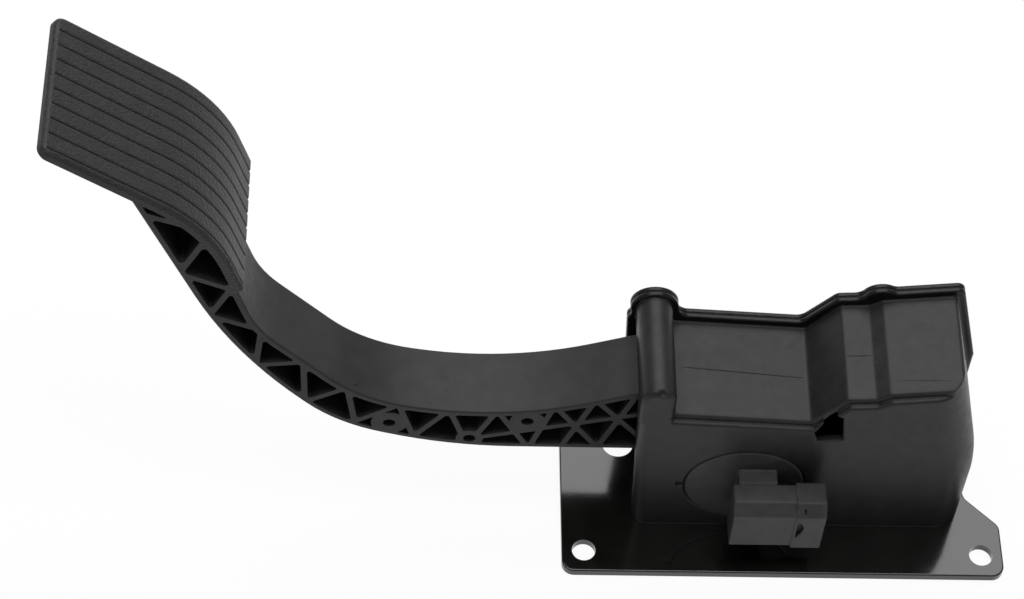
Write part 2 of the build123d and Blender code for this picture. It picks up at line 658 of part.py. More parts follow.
def make_magnet():
    """The ring magnet let into the rotor's front."""
    back = ROTOR_FRONT_Y + MAGNET_THICKNESS
    ring = rod(0, 0, MAGNET_OUTER_RADIUS, ROTOR_FRONT_Y, back)
    return ring - rod(0, 0, MAGNET_INNER_RADIUS, ROTOR_FRONT_Y, back)


def connector_section(grown=0.0):
    """The connector shroud cut across, in y and z, with its top front corner chamfered."""
    middle = Pos(CONNECTOR_BACK_Y - CONNECTOR_THICKNESS / 2, CONNECTOR_TOP - CONNECTOR_HEIGHT / 2)
    section = middle * Rectangle(CONNECTOR_THICKNESS + 2 * grown, CONNECTOR_HEIGHT + 2 * grown)
    corner = section.vertices().sort_by(lambda v: v.Y - v.X)[-1]
    return chamfer(corner, CONNECTOR_CHAMFER)


def along_x(section, left, right):
    """A section in y and z, drawn from left to right."""
    return extrude(Plane.YZ.offset(left) * section, amount=right - left)


def make_sensor_body():
    """The sensor lid, its rim, the neck and the connector shroud as one moulding."""
    body = rod(0, 0, SENSOR_RADIUS - SENSOR_FIT, FACE_Y, LID_BACK_Y)
    body = fillet(body.edges().sort_by(Axis.Y)[0], LID_ROUNDING)
    rim_back = POCKET_FLOOR_Y - SENSOR_FIT
    rim = rod(0, 0, SENSOR_RIM_RADIUS, LID_BACK_Y, rim_back)
    body += rim - rod(0, 0, SENSOR_RIM_RADIUS - SENSOR_RIM_WALL, LID_BACK_Y, rim_back)
    neck_bottom = CONNECTOR_TOP - CONNECTOR_HEIGHT + CONNECTOR_WALL
    body += block(NECK_LEFT, NECK_RIGHT, CONNECTOR_BACK_Y, FACE_Y, neck_bottom, CONNECTOR_TOP)
    shroud = along_x(connector_section(), CONNECTOR_LEFT, CONNECTOR_RIGHT)
    outer_edges = shroud.edges().filter_by(lambda e: e.center().X < CONNECTOR_RIGHT - NEAR)
    body += fillet(outer_edges, CONNECTOR_ROUNDING)
    collar_left = CONNECTOR_RIGHT - COLLAR_LENGTH
    collar = along_x(connector_section(COLLAR_STEP), collar_left, CONNECTOR_RIGHT)
    outer_edges = collar.edges().filter_by(lambda e: e.center().X > collar_left + NEAR)
    body += fillet(outer_edges, CONNECTOR_ROUNDING)
    body -= along_x(connector_section(-CONNECTOR_WALL), SOCKET_FLOOR_X, CONNECTOR_RIGHT)
    front = CONNECTOR_BACK_Y - CONNECTOR_THICKNESS - COLLAR_STEP
    latch = make_face(Polyline(*LATCH_NOTCH, close=True))
    latch = Pos(collar_left + LATCH_NOTCH_INSET, LATCH_NOTCH_Z) * latch
    body -= along_y(latch, front, front + LATCH_NOTCH_DEPTH)
    slit = Pos(collar_left + VENT_SLIT_INSET, CONNECTOR_TOP - CONNECTOR_CHAMFER / 2)
    slit = slit * Rectangle(VENT_SLIT_WIDTH, VENT_SLIT_LENGTH)
    body -= along_y(slit, front, front + CONNECTOR_CHAMFER / 2 + LATCH_NOTCH_DEPTH)
    for pin in make_pins():
        body -= pin
    return body


def make_pins():
    """The contact pins: a leg along the socket and a leg back to the circuit board."""
    half = PIN_SIZE / 2
    y = CONNECTOR_BACK_Y - CONNECTOR_THICKNESS / 2
    middle = CONNECTOR_TOP - CONNECTOR_HEIGHT / 2
    pins = []
    for number in range(PIN_COUNT):
        z = middle + (number - (PIN_COUNT - 1) / 2) * PIN_PITCH
        leg = block(PIN_FOOT_X - half, SOCKET_FLOOR_X + PIN_REACH, y - half, y + half, z - half, z + half)
        foot_back = LID_BACK_Y + BOARD_THICKNESS + PIN_STICKOUT
        foot = block(PIN_FOOT_X - half, PIN_FOOT_X + half, y - half, foot_back, z - half, z + half)
        pins.append(leg + foot)
    return pins


def make_board():
    """The round circuit board behind the lid, with a hole for each pin."""
    board = rod(0, 0, BOARD_RADIUS, LID_BACK_Y, LID_BACK_Y + BOARD_THICKNESS)
    for pin in make_pins():
        board -= pin
    return board


def make_seal():
    """The flat rubber ring under the lid's edge."""
    ring = rod(0, 0, SENSOR_RADIUS - SENSOR_FIT, LID_BACK_Y, SEAL_BACK_Y)
    return ring - rod(0, 0, SENSOR_RIM_RADIUS + SENSOR_FIT, LID_BACK_Y, SEAL_BACK_Y)


def strip(points, radii):
    """The band along a chord, from well outside it to its inner side, which lies to its right."""
    outside = chord(points, radii, CHORD_THICKNESS)
    return enclosed(outside, chord(points[::-1], radii[::-1], CHORD_THICKNESS))


def arm_outline(overlap):
    """The arm seen from the front, with its upper edge sunk into the tread by an overlap."""
    slope = (TREAD_LINE[1][1] - TREAD_LINE[0][1]) / (TREAD_LINE[1][0] - TREAD_LINE[0][0])
    toe_x = BOTTOM_CHORD[-1][0]
    toe = (toe_x, TREAD_LINE[0][1] + slope * (toe_x - TREAD_LINE[0][0]))
    tread = chord([toe] + TREAD_LINE[1:], [TREAD_BEND_RADIUS], overlap)
    low = NOSE_Z - NOSE_RADIUS
    tail = Polyline(TAIL_TOP, (NOSE_X, low), (0, low), HUB_HEEL)
    return enclosed(chord(BOTTOM_CHORD, BOTTOM_RADII), tread, chord(TOP_CHORD, TOP_RADII), tail)


def eased(face):
    """A pocket with its corners rounded, in proportion to its size."""
    radius = POCKET_ROUNDING * sqrt(face.area)
    return offset(offset(face, -radius), radius, kind=Kind.ARC)


def lattice_pockets():
    """The areas between chords, ribs and bosses that are hollowed out from both sides."""
    area = arm_outline(0) - strip(BOTTOM_CHORD, BOTTOM_RADII) - strip(TOP_CHORD, TOP_RADII)
    area -= Pos(*TOP_CHORD[0]) * Circle(CHORD_THICKNESS)
    for a, b in RIBS:
        area -= bar(a, b, RIB_THICKNESS)
    for x, z, radius in RIB_BOSSES:
        area -= Pos(x, z) * Circle(radius)
    area -= Pos(LATTICE_END + PLATE_WIDTH / 2, 0) * Rectangle(PLATE_WIDTH, PLATE_WIDTH)
    pockets = area.faces().filter_by(lambda f: f.area > SMALLEST_POCKET)
    hidden = pockets.filter_by(lambda f: f.center().X > HOUSING_LEFT_FOOT)
    shown = pockets.filter_by(lambda f: f.center().X < HOUSING_LEFT_FOOT)
    return Sketch() + hidden + [eased(face) for face in shown]


def groove_section():
    """A groove cut across: a V between two shallow shoulders, reaching above the surface."""
    slope = 2 * GROOVE_SHOULDER_DEPTH / (GROOVE_SHOULDER - GROOVE_WIDTH)
    half = GROOVE_WIDTH / 2
    outer = half + 2 * GROOVE_SHOULDER_DEPTH / slope
    left = [(-outer, GROOVE_SHOULDER_DEPTH), (-half, -GROOVE_SHOULDER_DEPTH)]
    right = [(half, -GROOVE_SHOULDER_DEPTH), (outer, GROOVE_SHOULDER_DEPTH)]
    return make_face(Polyline(*left, (0, -GROOVE_DEPTH), *right, close=True))


def make_tread():
    """The curved tread plate with rounded free corners and lengthwise grooves."""
    back = ARM_FRONT_Y + TREAD_WIDTH
    bend = [TREAD_BEND_RADIUS]
    under = chord(TREAD_LINE, bend)
    outline = enclosed(under, chord(TREAD_LINE[::-1], bend, -TREAD_THICKNESS))
    tread = along_y(outline, ARM_FRONT_Y, back)
    ends = tread.edges().filter_by(lambda e: abs(e.length - TREAD_THICKNESS) < NEAR)
    tread = fillet(ends.sort_by(Axis.X)[:2], TREAD_CORNER_RADIUS)
    start = under % 0
    finish = under % 1
    facing = Vector(-start.Y - finish.Y, 0, start.X + finish.X).normalized()
    tilt = cos(radians(TOP_TILT))
    tops = [face for face in tread.faces() if face.normal_at(face.center()).dot(facing) > tilt]
    rims = [edge for face in tops for edge in face.edges() if abs(edge.length - TREAD_WIDTH) > NEAR]
    tread = fillet(rims, TREAD_EDGE_ROUNDING)
    first = (TREAD_LINE[0][0] + start.X * GROOVE_END_MARGIN, TREAD_LINE[0][1] + start.Y * GROOVE_END_MARGIN)
    path = Plane.XZ * chord([first] + TREAD_LINE[1:], bend, TREAD_THICKNESS)
    groove = sweep(Plane(path @ 0, x_dir=(0, 1, 0), z_dir=path % 0) * groove_section(), path)
    middle = (ARM_FRONT_Y + back) / 2 + GROOVE_SHIFT
    for number in range(GROOVE_COUNT):
        tread -= Pos(0, middle + (number - (GROOVE_COUNT - 1) / 2) * GROOVE_PITCH, 0) * groove
    return tread


def make_arm():
    """The arm, tread, hub and tail as one moulding."""
    arm = along_y(arm_outline(TREAD_OVERLAP), ARM_FRONT_Y, ARM_BACK_Y)
    side_edges = arm.faces().filter_by(Axis.Y).edges()
    arm = fillet(side_edges.filter_by(lambda e: e.center().X < HOUSING_LEFT_TOP), ARM_EDGE_ROUNDING)
    arm += rod(0, 0, HUB_RADIUS, ARM_FRONT_Y, ARM_BACK_Y)
    arm += rod(NOSE_X, NOSE_Z, NOSE_RADIUS, ARM_FRONT_Y, ARM_BACK_Y)
    arm += make_tread()
    pockets = lattice_pockets()
    arm -= along_y(pockets, ARM_FRONT_Y, ARM_MIDDLE_Y - ARM_WEB / 2)
    arm -= along_y(pockets, ARM_MIDDLE_Y + ARM_WEB / 2, ARM_BACK_Y)
    for x, z, _ in RIB_BOSSES:
        arm -= rod(x, z, RIB_BOSS_HOLE_RADIUS, ARM_FRONT_Y, ARM_BACK_Y)
    return arm - rod(0, 0, SHAFT_RADIUS, ARM_FRONT_Y, ARM_BACK_Y)


def make_spring_seat():
    """The seat under the springs, which rocks on the nose of the arm's tail."""
    front = ARM_MIDDLE_Y - SEAT_WIDTH / 2
    back = ARM_MIDDLE_Y + SEAT_WIDTH / 2
    seat = block(NOSE_X - SEAT_LENGTH / 2, NOSE_X + SEAT_LENGTH / 2, front, back, SEAT_BOTTOM, SEAT_TOP)
    groove = NOSE_RADIUS + SADDLE_FIT
    foot = NOSE_Z + groove * cos(radians(SADDLE_WRAP))
    seat += block(NOSE_X - SADDLE_WIDTH / 2, NOSE_X + SADDLE_WIDTH / 2, front, back, foot, SEAT_BOTTOM)
    seat -= rod(NOSE_X, NOSE_Z, groove, front, back)
    return seat + spring_place(SEAT_TOP) * upright(SPIGOT_RADIUS, SPIGOT_HEIGHT)


def spring(radius, wire, turns):
    """A compression spring with ground ends, between its seat and the housing's roof."""
    height = SPRING_TOP - SEAT_TOP
    pitch = (height - wire / 2) / turns
    path = Helix(pitch, height + wire / 2, radius)
    section = Plane(path @ 0, z_dir=path % 0) * Circle(wire / 2)
    coil = Pos(0, 0, -wire / 4) * sweep(section, path, is_frenet=True)
    across = 2 * (radius + wire)
    ground = Box(across, across, height, align=(Align.CENTER, Align.CENTER, Align.MIN))
    return spring_place(SEAT_TOP) * (coil & ground)


def make_outer_spring():
    """The outer return spring."""
    return spring(OUTER_SPRING_RADIUS, OUTER_SPRING_WIRE, OUTER_SPRING_TURNS)


def make_inner_spring():
    """The inner return spring, a spare in case the other breaks."""
    return spring(INNER_SPRING_RADIUS, INNER_SPRING_WIRE, INNER_SPRING_TURNS)


def make_idle_stop():
    """The rubber pad that the tail rests on."""
    return along_y(idle_pad(), *stop_span())


def make_full_stop():
    """The rubber pad that stops the arm when it is right down."""
    return along_y(full_pad(), *stop_span())


PIECES = {
    "housing": make_housing,
    "rear_cover": make_rear_cover,
    "cover_gasket": make_gasket,
    "cover_screws": make_cover_screws,
    "front_bushing": make_front_bushing,
    "rear_bushing": make_rear_bushing,
    "sensor_body": make_sensor_body,
    "sensor_seal": make_seal,
    "circuit_board": make_board,
    "connector_pins": make_pins,
    "idle_stop_pad": make_idle_stop,
    "full_stop_pad": make_full_stop,
    "outer_return_spring": make_outer_spring,
    "inner_return_spring": make_inner_spring,
    "spring_seat": make_spring_seat,
    "pedal_arm": make_arm,
    "pivot_shaft": make_shaft,
    "sensor_rotor": make_rotor,
    "rotor_magnet": make_magnet,
}

os.makedirs("parts", exist_ok=True)
finished = {"mounting_plate": make_plate(), "foot_screws": Compound(children=make_foot_screws())}
for name, make in PIECES.items():
    made = make()
    if isinstance(made, list):
        finished[name] = Compound(children=[ON_PLATE * one for one in made])
    else:
        finished[name] = ON_PLATE * made
for name, piece in finished.items():
    export_step(piece, f"parts/{name}.step")
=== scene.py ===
import bpy
import numpy as np
from mathutils import Matrix


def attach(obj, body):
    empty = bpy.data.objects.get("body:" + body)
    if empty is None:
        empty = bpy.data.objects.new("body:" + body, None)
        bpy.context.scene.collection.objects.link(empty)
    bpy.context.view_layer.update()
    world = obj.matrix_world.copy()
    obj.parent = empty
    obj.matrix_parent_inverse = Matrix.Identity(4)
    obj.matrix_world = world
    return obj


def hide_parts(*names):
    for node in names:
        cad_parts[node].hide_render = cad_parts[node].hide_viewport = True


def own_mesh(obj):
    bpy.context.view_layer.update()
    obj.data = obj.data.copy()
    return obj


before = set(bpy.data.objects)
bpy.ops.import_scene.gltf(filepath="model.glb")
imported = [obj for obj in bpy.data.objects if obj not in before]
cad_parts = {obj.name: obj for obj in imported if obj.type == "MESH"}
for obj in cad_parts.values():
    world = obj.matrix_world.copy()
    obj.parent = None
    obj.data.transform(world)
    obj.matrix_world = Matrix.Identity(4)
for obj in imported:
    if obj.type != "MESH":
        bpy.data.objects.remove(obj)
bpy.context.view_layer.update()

# Mounting plate: a flat steel stamping with three bolt holes and one slanted corner. It is dipped in
# black gloss paint, which dries with a faint orange peel and a few dust specks. Its edges are painted
# paler, for the thin paint there and as a painted highlight.
PAINT_DARK = (0.0036, 0.0036, 0.0032, 1.0)
PAINT_LIGHT = (0.0064, 0.0064, 0.0058, 1.0)
PAINT_EDGE_THIN_AND_HIGHLIGHT = (0.014, 0.014, 0.0135, 1.0)
PAINT_EDGE_WIDTH = 0.0006
PAINT_EDGE_CLOUD = 0.003
PAINT_CLOUD_SIZE = 0.012
PAINT_SHINE = (0.10, 0.15)
PAINT_SHINE_CLOUD = 0.024
PAINT_COAT = 0.15
PAINT_COAT_ROUGHNESS = 0.05
PAINT_PEEL_SIZE = 0.0035
PAINT_PEEL_HEIGHT = 0.000004
PAINT_DUST_SIZE = 0.0007
PAINT_DUST_HEIGHT = 0.000003
PAINT_DUST_SPAN = (0.66, 0.74)
NOISE_SPAN = (0.3, 0.7)
CLOUD_NOISE = 3.0
PLAIN_NOISE = 1.0
EDGE_SAMPLES = 6
EDGE_TURN = (0.97, 0.80)
EDGE_BREAKUP = (0.35, 0.65)
# A Mix node's sockets share their names, so its colours are found by their places.
MIX_UNDER = 6
MIX_OVER = 7
MIX_COLOUR = 2


def start_finish(name, sockets):
    """A node material whose one shader has the given sockets set. Returns material, tree and shader."""
    finish = bpy.data.materials.new(name)
    finish.use_nodes = True
    shader = finish.node_tree.nodes["Principled BSDF"]
    for socket, value in sockets.items():
        shader.inputs[socket].default_value = value
    return finish, finish.node_tree, shader


def mottle(tree, size, detail=CLOUD_NOISE, stretch=(1.0, 1.0, 1.0)):
    """Noise on Object coordinates whose features have a size in metres, drawn out along the axes."""
    place = tree.nodes.new("ShaderNodeTexCoord")
    mapping = tree.nodes.new("ShaderNodeMapping")
    mapping.inputs["Scale"].default_value = [1.0 / s for s in stretch]
    noise = tree.nodes.new("ShaderNodeTexNoise")
    noise.inputs["Scale"].default_value = 1.0 / size
    noise.inputs["Detail"].default_value = detail
    tree.links.new(place.outputs["Object"], mapping.inputs["Vector"])
    tree.links.new(mapping.outputs["Vector"], noise.inputs["Vector"])
    return noise.outputs["Fac"]


def ranged(tree, value, start, end, low=0.0, high=1.0):
    """A value between start and end carried over to the range from low to high, and held at its ends."""
    node = tree.nodes.new("ShaderNodeMapRange")
    node.inputs["From Min"].default_value = start
    node.inputs["From Max"].default_value = end
    node.inputs["To Min"].default_value = low
    node.inputs["To Max"].default_value = high
    tree.links.new(value, node.inputs["Value"])
    return node.outputs["Result"]


def product(tree, one, two):
    """Two values multiplied."""
    node = tree.nodes.new("ShaderNodeMath")
    node.operation = "MULTIPLY"
    tree.links.new(one, node.inputs[0])
    tree.links.new(two, node.inputs[1])
    return node.outputs["Value"]


def tinted(tree, value, dark, light):
    """A colour that goes from dark to light as noise goes through its usual span."""
    ramp = tree.nodes.new("ShaderNodeValToRGB")
    for stop, position, colour in zip(ramp.color_ramp.elements, NOISE_SPAN, (dark, light)):
        stop.position = position
        stop.color = colour
    tree.links.new(value, ramp.inputs["Fac"])
    return ramp.outputs["Color"]


def overlaid(tree, under, over, mask):
    """A colour with another laid over it where a mask is 1."""
    node = tree.nodes.new("ShaderNodeMix")
    node.data_type = "RGBA"
    tree.links.new(mask, node.inputs["Factor"])
    tree.links.new(under, node.inputs[MIX_UNDER])
    node.inputs[MIX_OVER].default_value = over
    return node.outputs[MIX_COLOUR]


def softened(tree, radius):
    """The surface's direction, turned smoothly round edges within a radius."""
    bevel = tree.nodes.new("ShaderNodeBevel")
    bevel.samples = EDGE_SAMPLES
    bevel.inputs["Radius"].default_value = radius
    return bevel.outputs["Normal"]


def scuffed_and_highlit_edge(tree, soft, breakup):
    """A mask that is 1 on edges, where the softened direction leaves the surface's own, and broken up
    by noise of a size. It lays the paler edge colour, for wear and as a painted highlight."""
    surface = tree.nodes.new("ShaderNodeNewGeometry")
    facing = tree.nodes.new("ShaderNodeVectorMath")
    facing.operation = "DOT_PRODUCT"
    tree.links.new(soft, facing.inputs[0])
    tree.links.new(surface.outputs["Normal"], facing.inputs[1])
    edge = ranged(tree, facing.outputs["Value"], *EDGE_TURN)
    return product(tree, edge, ranged(tree, mottle(tree, breakup), *EDGE_BREAKUP))


def raised(tree, value, height, under=None):
    """The surface raised by a value times a height in metres, on top of an earlier relief if given."""
    bump = tree.nodes.new("ShaderNodeBump")
    bump.inputs["Distance"].default_value = height
    tree.links.new(value, bump.inputs["Height"])
    if under is not None:
        tree.links.new(under, bump.inputs["Normal"])
    return bump.outputs["Normal"]


def dress(node, finish):
    """Gives a solid of the frame its finish."""
    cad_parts[node].material_slots[0].material = finish


def gloss_paint():
    """Black dipped paint: near black, glossy, slightly wavy, with dust under it, and edges painted paler
    for thin paint and as a painted highlight.
    """
    finish, tree, shader = start_finish("black_gloss_paint", {
        "Coat Weight": PAINT_COAT,
        "Coat Roughness": PAINT_COAT_ROUGHNESS,
    })
    colour = tinted(tree, mottle(tree, PAINT_CLOUD_SIZE), PAINT_DARK, PAINT_LIGHT)
    # Painted highlight: the edges are tinted paler, for thin paint and for the light the edges catch.
    edge = scuffed_and_highlit_edge(tree, softened(tree, PAINT_EDGE_WIDTH), PAINT_EDGE_CLOUD)
    tree.links.new(overlaid(tree, colour, PAINT_EDGE_THIN_AND_HIGHLIGHT, edge), shader.inputs["Base Color"])
    shine = ranged(tree, mottle(tree, PAINT_SHINE_CLOUD), *NOISE_SPAN, *PAINT_SHINE)
    tree.links.new(shine, shader.inputs["Roughness"])
    peel = raised(tree, mottle(tree, PAINT_PEEL_SIZE, PLAIN_NOISE), PAINT_PEEL_HEIGHT)
    dust = ranged(tree, mottle(tree, PAINT_DUST_SIZE, PLAIN_NOISE), *PAINT_DUST_SPAN)
    tree.links.new(raised(tree, dust, PAINT_DUST_HEIGHT, peel), shader.inputs["Normal"])
    return finish


dress("mounting_plate", gloss_paint())

# Foot screws: four countersunk steel screws, zinc plated, driven up through the plate into the
# housing's foot bosses. Turning leaves fine rings that show as a streaky shine.
ZINC_DARK = (0.33, 0.33, 0.34, 1.0)
ZINC_LIGHT = (0.52, 0.53, 0.55, 1.0)
ZINC_SHINE = (0.24, 0.42)
ZINC_CLOUD_SIZE = 0.004
ZINC_RINGS = (4.0, 1.0, 4.0)
STREAKS_PER_CLOUD = 3
TURNING_SIZE = 0.0003
TURNING_HEIGHT = 0.000006
FINE_NOISE = 2.0


def turned_metal(name, dark, light, shine, cloud_size, rings):
    """Turned metal: clouded colour and shine, with fine rings drawn out across the turning axis."""
    finish, tree, shader = start_finish(name, {"Metallic": 1.0})
    tree.links.new(tinted(tree, mottle(tree, cloud_size), dark, light), shader.inputs["Base Color"])
    rough = ranged(tree, mottle(tree, cloud_size / STREAKS_PER_CLOUD), *NOISE_SPAN, *shine)
    tree.links.new(rough, shader.inputs["Roughness"])
    turning = mottle(tree, TURNING_SIZE, FINE_NOISE, rings)
    tree.links.new(raised(tree, turning, TURNING_HEIGHT), shader.inputs["Normal"])
    return finish


zinc = turned_metal("zinc_plated_steel", ZINC_DARK, ZINC_LIGHT, ZINC_SHINE, ZINC_CLOUD_SIZE, ZINC_RINGS)
dress("foot_screws", zinc)

# Housing: one injection moulding in glass-filled black nylon, with a fine etched grain and a satin
# shine. The flange that the cover is screwed to is left glossy, and the edges are painted paler, for
# scuffs and as a painted highlight.
# The tool's halves leave a thin raised seam across each panel of the roof.
HOUSING_DARK = (0.0125, 0.0125, 0.0121, 1.0)
HOUSING_LIGHT = (0.0180, 0.0180, 0.0175, 1.0)
# Edge colour: scuffs and a painted highlight along the edges.
HOUSING_EDGE_SCUFF_AND_HIGHLIGHT = (0.045, 0.045, 0.044, 1.0)
HOUSING_SHINE = (0.37, 0.47)
FLANGE_BLACK = (0.007, 0.007, 0.0068, 1.0)
FLANGE_FRONT = 0.0513
FLANGE_FADE = 0.0001
FLANGE_SHINE = 0.22
PLASTIC_GLOSS = 0.21
SOFT_EDGE = 0.0013
ETCH_SIZE = 0.00035
ETCH_HEIGHT = 0.000012
CLOUD_SIZE = 0.006
DEEP_NOISE = 5.0
SHINE_CLOUD = 0.003
SHINE_NOISE = 4.0
EDGE_CLOUD = 0.003
SPECK_SIZE = 0.0016
SPECK_SPAN = (0.74, 0.80)
SPECK_STRENGTH = (0.0, 0.35)
SPECK_TINT = (0.10, 0.10, 0.098, 1.0)
SEAM_WIDTH = 0.00034
SEAM_HEIGHT = 0.00016
RIDGE_STEPS = 40
RIDGE_AROUND = 16
RIDGE_TAPER = 0.25
RIDGE_TIP = 0.02
# A Mix node's numbers are found by their places too.
MIX_SHARE = 0
MIX_FIRST = 2
MIX_SECOND = 3
MIX_NUMBER = 0
SEAMS = {
    "seam_left_panel": ((-0.0416, 0.0328, 0.0739), (0.0018, 0.0310, 0.0707)),
    "seam_middle_panel": ((0.0142, 0.0311, 0.08467), (0.0234, 0.0311, 0.08524)),
    "seam_right_panel": ((0.0290, 0.0193, 0.08766), (0.0490, 0.0179, 0.09035)),
}


def along(tree, axis):
    """The Object coordinate along one axis."""
    place = tree.nodes.new("ShaderNodeTexCoord")
    split = tree.nodes.new("ShaderNodeSeparateXYZ")
    tree.links.new(place.outputs["Object"], split.inputs["Vector"])
    return split.outputs[axis]


def moulded_plastic(name, dark, light, shine, etch_height, edge_scuff_and_highlight=None, edge_width=SOFT_EDGE):
    """Moulded plastic: clouded colour, uneven satin shine, an etched grain, specks, and edges painted paler
    for scuffs and as a painted highlight.
    """
    finish, tree, shader = start_finish(name, {"Specular IOR Level": PLASTIC_GLOSS})
    colour = tinted(tree, mottle(tree, CLOUD_SIZE, DEEP_NOISE), dark, light)
    soft = None
    if edge_scuff_and_highlight is not None:
        soft = softened(tree, edge_width)
        # Painted highlight: the edges are tinted paler, for scuffs and for the light the edges catch.
        colour = overlaid(tree, colour, edge_scuff_and_highlight, scuffed_and_highlit_edge(tree, soft, EDGE_CLOUD))
        specks = ranged(tree, mottle(tree, SPECK_SIZE, FINE_NOISE), *SPECK_SPAN, *SPECK_STRENGTH)
        colour = overlaid(tree, colour, SPECK_TINT, specks)
    tree.links.new(colour, shader.inputs["Base Color"])
    rough = ranged(tree, mottle(tree, SHINE_CLOUD, SHINE_NOISE), *NOISE_SPAN, *shine)
    tree.links.new(rough, shader.inputs["Roughness"])
    etching = mottle(tree, ETCH_SIZE, FINE_NOISE)
    tree.links.new(raised(tree, etching, etch_height, soft), shader.inputs["Normal"])
    return finish


def reshined(tree, shader, shine, mask):
    """Changes the shader's roughness to another one where a mask is 1."""
    blend = tree.nodes.new("ShaderNodeMix")
    tree.links.new(mask, blend.inputs[MIX_SHARE])
    tree.links.new(shader.inputs["Roughness"].links[0].from_socket, blend.inputs[MIX_FIRST])
    blend.inputs[MIX_SECOND].default_value = shine
    tree.links.new(blend.outputs[MIX_NUMBER], shader.inputs["Roughness"])


def housing_nylon():
    """The housing's plastic, turning glossy and blacker on the flange at its back."""
    finish = moulded_plastic(
        "housing_nylon", HOUSING_DARK, HOUSING_LIGHT, HOUSING_SHINE, ETCH_HEIGHT, HOUSING_EDGE_SCUFF_AND_HIGHLIGHT
    )
    tree = finish.node_tree
    shader = tree.nodes["Principled BSDF"]
    flange = ranged(tree, along(tree, "Y"), FLANGE_FRONT - FLANGE_FADE, FLANGE_FRONT)
    colour = shader.inputs["Base Color"].links[0].from_socket
    tree.links.new(overlaid(tree, colour, FLANGE_BLACK, flange), shader.inputs["Base Color"])
    reshined(tree, shader, FLANGE_SHINE, flange)
    return finish


def tube_mesh(name, path, across, upward, half_width, half_height, around, joined=False):
    """Carries an ellipse along a path: the point at step i and angle f is
    path[i] + half_width[i] cos(f) across[i] + half_height[i] sin(f) upward[i].
    The ends are capped, or joined to each other in a ring."""
    steps = len(path)
    rows = steps if joined else steps - 1
    turn = np.linspace(0.0, 2.0 * np.pi, around, endpoint=False)
    sideways = np.cos(turn)[None, :, None] * (across * half_width[:, None])[:, None, :]
    lifted = np.sin(turn)[None, :, None] * (upward * half_height[:, None])[:, None, :]
    points = (path[:, None, :] + sideways + lifted).reshape(-1, 3)
    row, col = np.meshgrid(np.arange(rows), np.arange(around), indexing="ij")
    below = (row + 1) % steps
    after = (col + 1) % around
    quads = np.stack([row, row, below, below], -1) * around + np.stack([col, after, after, col], -1)
    caps = [list(range(around))[::-1], list(range((steps - 1) * around, steps * around))]
    mesh = bpy.data.meshes.new(name)
    mesh.from_pydata(points.tolist(), [], quads.reshape(-1, 4).tolist() + ([] if joined else caps))
    mesh.shade_smooth()
    piece = bpy.data.objects.new(name, mesh)
    bpy.context.scene.collection.objects.link(piece)
    return piece


def ridge(name, start, end, out, width, height):
    """A low ridge: an ellipse carried along a line, standing out of the surface one way and sunk into it
    the other, and tapering almost to nothing at both ends as sin(pi s) to the power 1/4."""
    share = np.linspace(0.0, 1.0, RIDGE_STEPS)
    start, end = np.array(start), np.array(end)
    path = start + share[:, None] * (end - start)
    heading = (end - start) / np.linalg.norm(end - start)
    across = np.cross(out, heading)
    across = across / np.linalg.norm(across)
    upward = np.cross(heading, across)
    taper = np.maximum(np.sin(np.pi * share), 0.0) ** RIDGE_TAPER * (1.0 - RIDGE_TIP) + RIDGE_TIP
    ones = np.ones((RIDGE_STEPS, 1))
    return tube_mesh(
        name, path, across * ones, upward * ones, taper * width / 2, taper * height, RIDGE_AROUND
    )


nylon = housing_nylon()
dress("housing", nylon)
for seam_name, (seam_start, seam_end) in SEAMS.items():
    line = ridge(seam_name, seam_start, seam_end, (0.0, 0.0, 1.0), SEAM_WIDTH, SEAM_HEIGHT)
    line.data.materials.append(nylon)
    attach(line, "base")

# Rear cover, gasket and cover screws: the cover is a second moulding in a shinier black plastic,
# screwed to the flange over a thin rubber gasket. A low ring and four ribs stiffen it round the bearing.
COVER_DARK = (0.0075, 0.0075, 0.0073, 1.0)
COVER_LIGHT = (0.0120, 0.0120, 0.0117, 1.0)
# Edge colour: scuffs and a painted highlight along the edges.
COVER_EDGE_SCUFF_AND_HIGHLIGHT = (0.040, 0.040, 0.039, 1.0)
COVER_SHINE = (0.20, 0.28)
COVER_ETCH = 0.000006
RUBBER_DARK = (0.008, 0.008, 0.008, 1.0)
RUBBER_LIGHT = (0.015, 0.015, 0.015, 1.0)
RUBBER_SHINE = (0.62, 0.75)
COVER_BACK = 0.0552
BEARING_X = -0.0165
BEARING_Z = 0.0312
RING_RADIUS = 0.0125
RING_STEPS = 96
RIB_WIDTH = 0.0026
RIB_HEIGHT = 0.0014
COVER_RIBS = {
    "cover_rib_column": (-0.0457, 0.0749),
    "cover_rib_lug": (0.0222, 0.0783),
    "cover_rib_low_left": (-0.0349, 0.0163),
    "cover_rib_low_right": (0.0500, 0.0156),
}

cover_nylon = moulded_plastic(
    "cover_nylon", COVER_DARK, COVER_LIGHT, COVER_SHINE, COVER_ETCH, COVER_EDGE_SCUFF_AND_HIGHLIGHT
)


def cover_ring():
    """The ring round the bearing: an ellipse, half sunk, carried along a circle and joined to itself."""
    angle = np.linspace(0.0, 2.0 * np.pi, RING_STEPS, endpoint=False)
    outward = np.column_stack((np.cos(angle), np.zeros(RING_STEPS), np.sin(angle)))
    path = np.array((BEARING_X, COVER_BACK, BEARING_Z)) + RING_RADIUS * outward
    back = np.tile((0.0, 1.0, 0.0), (RING_STEPS, 1))
    half_width = np.full(RING_STEPS, RIB_WIDTH / 2)
    half_height = np.full(RING_STEPS, RIB_HEIGHT)
    return tube_mesh("cover_ring", path, back, outward, half_height, half_width, RIDGE_AROUND, joined=True)


